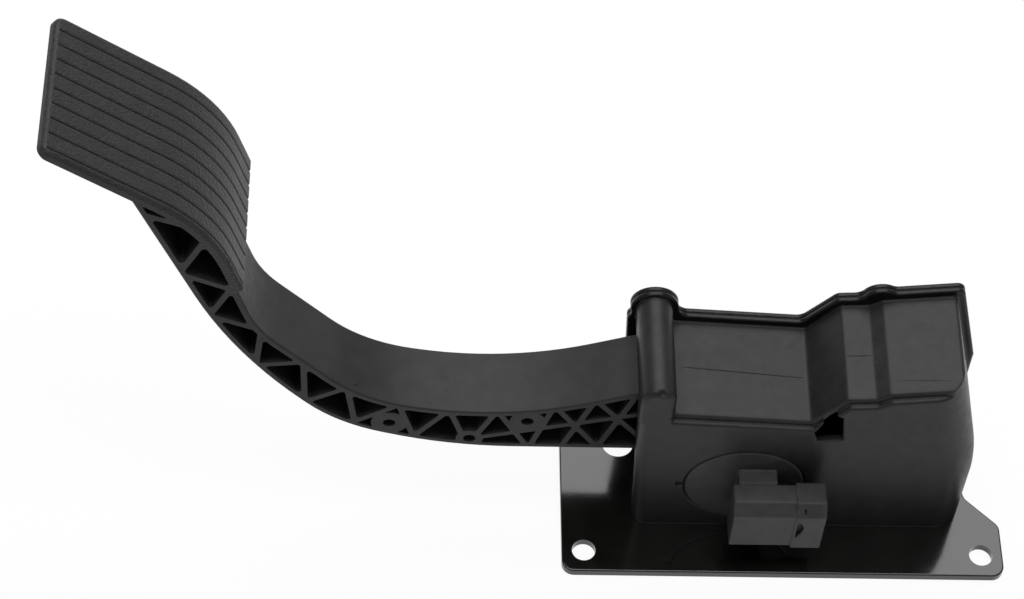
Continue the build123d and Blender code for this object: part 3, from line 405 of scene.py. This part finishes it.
def cover_rib(name, far_x, far_z):
    """A straight rib from the ring out to a point near a screw."""
    reach = np.array((far_x - BEARING_X, 0.0, far_z - BEARING_Z))
    middle = np.array((BEARING_X, COVER_BACK, BEARING_Z))
    near = middle + RING_RADIUS * reach / np.linalg.norm(reach)
    return ridge(name, near, middle + reach, (0.0, 1.0, 0.0), RIB_WIDTH, RIB_HEIGHT)


dress("rear_cover", cover_nylon)
stiffeners = [cover_ring()] + [cover_rib(rib_name, *far) for rib_name, far in COVER_RIBS.items()]
for stiffener in stiffeners:
    stiffener.data.materials.append(cover_nylon)
    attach(stiffener, "base")
rubber = moulded_plastic("black_rubber", RUBBER_DARK, RUBBER_LIGHT, RUBBER_SHINE, ETCH_HEIGHT)
dress("cover_gasket", rubber)
dress("cover_screws", zinc)

# Bearings and shaft: two flanged bronze bushes, pressed and sintered, and a ground steel pin.
BRONZE_DARK = (0.26, 0.15, 0.06, 1.0)
BRONZE_LIGHT = (0.42, 0.27, 0.12, 1.0)
BRONZE_SHINE = (0.35, 0.5)
STEEL_DARK = (0.36, 0.36, 0.37, 1.0)
STEEL_LIGHT = (0.50, 0.50, 0.51, 1.0)
STEEL_SHINE = (0.18, 0.28)
STEEL_CLOUD_SIZE = 0.003
ROUND_Y = (8.0, 1.0, 8.0)

bronze = turned_metal("sintered_bronze", BRONZE_DARK, BRONZE_LIGHT, BRONZE_SHINE, STEEL_CLOUD_SIZE, ROUND_Y)
dress("front_bushing", bronze)
dress("rear_bushing", bronze)
dress("pivot_shaft", turned_metal(
    "ground_steel", STEEL_DARK, STEEL_LIGHT, STEEL_SHINE, STEEL_CLOUD_SIZE, ROUND_Y
))

# Sensor: a round lid set flush in the housing's face and moulded in one with the connector shroud.
# Behind it are the seal ring, the circuit board with the contact pins, and the magnet's carrier.
SENSOR_DARK = (0.027, 0.0273, 0.0262, 1.0)
SENSOR_LIGHT = (0.039, 0.0394, 0.0380, 1.0)
# Edge colour: scuffs and a painted highlight along the edges.
SENSOR_EDGE_SCUFF_AND_HIGHLIGHT = (0.060, 0.0605, 0.059, 1.0)
SENSOR_SHINE = (0.42, 0.54)
TIN_DARK = (0.45, 0.44, 0.42, 1.0)
TIN_LIGHT = (0.62, 0.61, 0.59, 1.0)
TIN_SHINE = (0.25, 0.35)
TIN_RINGS = (1.0, 8.0, 8.0)
BOARD_DARK = (0.012, 0.055, 0.025, 1.0)
BOARD_LIGHT = (0.02, 0.085, 0.04, 1.0)
BOARD_SHINE = (0.3, 0.4)
BOARD_ETCH = 0.000004
FERRITE_DARK = (0.02, 0.02, 0.022, 1.0)
FERRITE_LIGHT = (0.045, 0.045, 0.048, 1.0)
FERRITE_SHINE = (0.5, 0.6)
ROTOR_DARK = (0.20, 0.19, 0.17, 1.0)
ROTOR_LIGHT = (0.28, 0.27, 0.24, 1.0)
ROTOR_SHINE = (0.4, 0.5)

dress("sensor_body", moulded_plastic(
    "sensor_nylon", SENSOR_DARK, SENSOR_LIGHT, SENSOR_SHINE, ETCH_HEIGHT, SENSOR_EDGE_SCUFF_AND_HIGHLIGHT
))
dress("sensor_seal", rubber)
dress("circuit_board", moulded_plastic("green_board", BOARD_DARK, BOARD_LIGHT, BOARD_SHINE, BOARD_ETCH))
dress("connector_pins", turned_metal(
    "tinned_contact", TIN_DARK, TIN_LIGHT, TIN_SHINE, STEEL_CLOUD_SIZE, TIN_RINGS
))
dress("sensor_rotor", moulded_plastic("rotor_nylon", ROTOR_DARK, ROTOR_LIGHT, ROTOR_SHINE, ETCH_HEIGHT))
dress("rotor_magnet", moulded_plastic("ferrite", FERRITE_DARK, FERRITE_LIGHT, FERRITE_SHINE, ETCH_HEIGHT))

# Stops, return springs and their seat, all inside the housing: two rubber pads, and a plastic seat
# that rocks on the nose of the arm's tail. The springs are drawn wire, one coiled inside the other,
# with closed ends ground flat; they shorten as the pedal goes down.
SEAT_DARK = (0.14, 0.14, 0.135, 1.0)
SEAT_LIGHT = (0.2, 0.2, 0.195, 1.0)
SEAT_SHINE = (0.35, 0.45)
SEAT_ETCH = 0.000006
WIRE_SHINE = (0.25, 0.35)
WIRE_RINGS = (6.0, 6.0, 1.0)
SPRING_X = 0.0335
SPRING_Y = 0.03335
SPRING_FOOT = 0.0362
SPRING_HEAD = 0.0792
CLOSED_TURNS = 0.9
STEPS_PER_TURN = 40
WIRE_AROUND = 14
# Coil radius, wire thickness and turns
SPRINGS = {
    "outer_return_spring": (0.0090, 0.0022, 6.0),
    "inner_return_spring": (0.0056, 0.0015, 8.0),
}


def coil_spring(name, radius, wire, turns):
    """A compression spring: a wire carried along a helix that rises by one wire a turn in its closed
    ends and evenly between them, with all that stands past the end planes ground off."""
    steps = int(turns * STEPS_PER_TURN) + 1
    wound = np.linspace(0.0, turns, steps)
    closed = (wound < CLOSED_TURNS) | (wound > turns - CLOSED_TURNS)
    travel = SPRING_HEAD - SPRING_FOOT - wire / 2
    open_rise = (travel - 2 * CLOSED_TURNS * wire) / (turns - 2 * CLOSED_TURNS)
    rise = np.concatenate(([0.0], np.cumsum(np.where(closed, wire, open_rise)[1:]))) / STEPS_PER_TURN
    rise = rise * travel / rise[-1]
    angle = 2.0 * np.pi * wound
    outward = np.column_stack((np.cos(angle), np.sin(angle), np.zeros(steps)))
    path = radius * outward + np.column_stack((
        np.full(steps, SPRING_X), np.full(steps, SPRING_Y), SPRING_FOOT + wire / 4 + rise
    ))
    heading = np.gradient(path, axis=0)
    heading = heading / np.linalg.norm(heading, axis=1)[:, None]
    half = np.full(steps, wire / 2)
    piece = tube_mesh(name, path, outward, np.cross(outward, heading), half, half, WIRE_AROUND)
    points = np.empty(3 * len(piece.data.vertices))
    piece.data.vertices.foreach_get("co", points)
    points = points.reshape(-1, 3)
    points[:, 2] = np.clip(points[:, 2], SPRING_FOOT, SPRING_HEAD)
    piece.data.vertices.foreach_set("co", points.ravel())
    piece.data.update()
    return piece


dress("idle_stop_pad", rubber)
dress("full_stop_pad", rubber)
dress("spring_seat", moulded_plastic("seat_acetal", SEAT_DARK, SEAT_LIGHT, SEAT_SHINE, SEAT_ETCH))
spring_wire = turned_metal(
    "spring_wire", STEEL_DARK, STEEL_LIGHT, WIRE_SHINE, STEEL_CLOUD_SIZE, WIRE_RINGS
)
for spring_node, windings in SPRINGS.items():
    coil = coil_spring(spring_node.replace("return", "coiled"), *windings)
    coil.data.materials.append(spring_wire)
    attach(coil, "base")
    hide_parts(spring_node)
    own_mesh(coil)

# Pedal arm: a curved lattice beam with its tread, moulded in one piece in black glass-filled nylon.
# The beam is smooth and satin, with a small stub left where the plastic was let in; the tread's upper
# side is deeply etched for grip.
ARM_DARK = (0.0170, 0.0173, 0.0169, 1.0)
ARM_LIGHT = (0.0235, 0.0239, 0.0234, 1.0)
# Edge colour: scuffs and a painted highlight along the edges.
ARM_EDGE_SCUFF_AND_HIGHLIGHT = (0.034, 0.0345, 0.034, 1.0)
ARM_SHINE = (0.46, 0.56)
ARM_SOFT_EDGE = 0.0003
GRIP_FOOT = 0.1312
GRIP_FADE = 0.0004
GRIP_FACING = (0.61, 0.0, 0.79)
GRIP_LEAN = (-0.1, 0.1)
GRIP_SIZE = 0.0009
GRIP_HEIGHT = 0.00042
GRIP_LIGHT = (0.0235, 0.0240, 0.0236, 1.0)
GRIP_TOPS = (0.47, 0.60)
GRIP_STRENGTH = (0.0, 0.75)
GRIP_SHINE = 0.42
GATE_PLACE = (-0.15445, 0.02417, 0.07297)
GATE_OUT = (0.601, 0.0, 0.799)
GATE_HEIGHT = 0.0003
GATE_RADII = (0.00055, 0.00052, 0.00050, 0.00044, 0.00022)
GATE_LENGTHENED = 1.6


def grip_mask(tree):
    """1 on the tread's upper side: above the heel's height and facing up along the tread."""
    place = tree.nodes.new("ShaderNodeTexCoord")
    facing = tree.nodes.new("ShaderNodeVectorMath")
    facing.operation = "DOT_PRODUCT"
    facing.inputs[1].default_value = GRIP_FACING
    tree.links.new(place.outputs["Normal"], facing.inputs[0])
    upward = ranged(tree, facing.outputs["Value"], *GRIP_LEAN)
    return product(tree, upward, ranged(tree, along(tree, "Z"), GRIP_FOOT - GRIP_FADE, GRIP_FOOT))


def arm_nylon():
    """The arm's plastic, with a coarse raised grain and paler grain tops on the tread."""
    finish = moulded_plastic(
        "arm_nylon", ARM_DARK, ARM_LIGHT, ARM_SHINE, ETCH_HEIGHT, ARM_EDGE_SCUFF_AND_HIGHLIGHT, ARM_SOFT_EDGE
    )
    tree = finish.node_tree
    shader = tree.nodes["Principled BSDF"]
    mask = grip_mask(tree)
    grain = product(tree, mottle(tree, GRIP_SIZE, FINE_NOISE), mask)
    etched = shader.inputs["Normal"].links[0].from_socket
    tree.links.new(raised(tree, grain, GRIP_HEIGHT, etched), shader.inputs["Normal"])
    colour = shader.inputs["Base Color"].links[0].from_socket
    tops = ranged(tree, grain, *GRIP_TOPS, *GRIP_STRENGTH)
    tree.links.new(overlaid(tree, colour, GRIP_LIGHT, tops), shader.inputs["Base Color"])
    reshined(tree, shader, GRIP_SHINE, mask)
    return finish


def gate_stub():
    """The stub of the mould's gate: an oval peg, half sunk in the arm's top, that narrows to its torn tip,
    with the radii of its rings given in order."""
    out = np.array(GATE_OUT) / np.linalg.norm(GATE_OUT)
    across = np.array((0.0, 1.0, 0.0))
    steps = len(GATE_RADII)
    rise = np.linspace(-GATE_HEIGHT, GATE_HEIGHT, steps)
    path = np.array(GATE_PLACE) + rise[:, None] * out
    radii = np.array(GATE_RADII)
    ones = np.ones((steps, 1))
    lengthwise = np.cross(out, across)
    return tube_mesh(
        "gate_stub", path, across * ones, lengthwise * ones, radii, radii * GATE_LENGTHENED, RIDGE_AROUND
    )


arm_plastic = arm_nylon()
dress("pedal_arm", arm_plastic)
stub = gate_stub()
stub.data.materials.append(arm_plastic)
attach(stub, "pedal")

# Studio: a pale flat floor under the object and a large bright panel behind and above it, which the plate
# and the top faces mirror, with a narrower panel overhead and a dim grey room.
FLOOR_SIZE = 24.0
FLOOR_DROP = 0.0003
FLOOR_SHOWN = 0.93
FLOOR_LIT = (0.8, 0.8, 0.8, 1.0)
ROOM_GREY = (0.30, 0.30, 0.30, 1.0)
AIM = np.array((-0.05, 0.02, 0.06))
# Place, width, height in metres and power in watts
PANELS = {
    "back_panel": ((0.0, 0.84, 1.30), 1.3, 1.0, 15.5),
    "top_panel": ((-0.05, -0.10, 1.60), 1.5, 0.4, 15.0),
}


def studio_floor():
    """A white floor: shown white to the camera and in mirrors, and lit enough to hold a soft shadow."""
    finish = bpy.data.materials.new("pale_floor")
    finish.use_nodes = True
    tree = finish.node_tree
    tree.nodes.remove(tree.nodes["Principled BSDF"])
    lit = tree.nodes.new("ShaderNodeBsdfDiffuse")
    lit.inputs["Color"].default_value = FLOOR_LIT
    shown = tree.nodes.new("ShaderNodeEmission")
    path = tree.nodes.new("ShaderNodeLightPath")
    seen = tree.nodes.new("ShaderNodeMath")
    seen.operation = "MAXIMUM"
    seen_too = tree.nodes.new("ShaderNodeMath")
    seen_too.operation = "MAXIMUM"
    share = tree.nodes.new("ShaderNodeMath")
    share.operation = "MULTIPLY"
    share.inputs[1].default_value = FLOOR_SHOWN
    mix = tree.nodes.new("ShaderNodeMixShader")
    tree.links.new(path.outputs["Is Camera Ray"], seen.inputs[0])
    tree.links.new(path.outputs["Is Glossy Ray"], seen.inputs[1])
    tree.links.new(seen.outputs["Value"], seen_too.inputs[0])
    tree.links.new(path.outputs["Is Transmission Ray"], seen_too.inputs[1])
    tree.links.new(seen_too.outputs["Value"], share.inputs[0])
    tree.links.new(share.outputs["Value"], mix.inputs["Fac"])
    tree.links.new(lit.outputs["BSDF"], mix.inputs[1])
    tree.links.new(shown.outputs["Emission"], mix.inputs[2])
    tree.links.new(mix.outputs["Shader"], tree.nodes["Material Output"].inputs["Surface"])
    return finish


def panel_light(name, place, width, height, power):
    """A rectangular lamp at a place, facing the object."""
    lamp = bpy.data.lights.new(name, "AREA")
    lamp.shape = "RECTANGLE"
    lamp.size = width
    lamp.size_y = height
    lamp.energy = power
    holder = bpy.data.objects.new(name, lamp)
    bpy.context.scene.collection.objects.link(holder)
    back = np.asarray(place) - AIM
    back = back / np.linalg.norm(back)
    across = np.cross((0.0, 0.0, 1.0), back)
    across = across / np.linalg.norm(across)
    turn = Matrix(np.column_stack((across, np.cross(back, across), back)).tolist()).to_4x4()
    holder.matrix_world = Matrix.Translation(place) @ turn


half = FLOOR_SIZE / 2
floor_mesh = bpy.data.meshes.new("floor")
corners = [(-half, -half), (half, -half), (half, half), (-half, half)]
floor_mesh.from_pydata([(x, y, -FLOOR_DROP) for x, y in corners], [], [(0, 1, 2, 3)])
floor_mesh.materials.append(studio_floor())
floor = bpy.data.objects.new("floor", floor_mesh)
bpy.context.scene.collection.objects.link(floor)

for panel_name, panel in PANELS.items():
    panel_light(panel_name, *panel)

world = bpy.data.worlds.new("room")
bpy.context.scene.world = world
world.use_nodes = True
world.node_tree.nodes["Background"].inputs["Color"].default_value = ROOM_GREY

# Camera: above and in front of the plate, a little to its left, with a long lens.
CAMERA_PLACE = (-0.1375, -0.5086, 0.8864)
CAMERA_RIGHT = (0.9992, -0.0078, 0.0404)
CAMERA_UP = (-0.0167, 0.8195, 0.5728)
CAMERA_LENS = 99.29
CAMERA_SENSOR = 36.0

camera_data = bpy.data.cameras.new("camera")
camera_data.lens = CAMERA_LENS
camera_data.sensor_width = CAMERA_SENSOR
camera = bpy.data.objects.new("camera", camera_data)
bpy.context.scene.collection.objects.link(camera)
right = np.array(CAMERA_RIGHT) / np.linalg.norm(CAMERA_RIGHT)
behind = np.cross(right, CAMERA_UP)
behind = behind / np.linalg.norm(behind)
frame_turn = np.column_stack((right, np.cross(behind, right), behind))
camera.matrix_world = Matrix.Translation(CAMERA_PLACE) @ Matrix(frame_turn.tolist()).to_4x4()
bpy.context.scene.camera = camera
bpy.context.scene.view_settings.view_transform = "Standard"
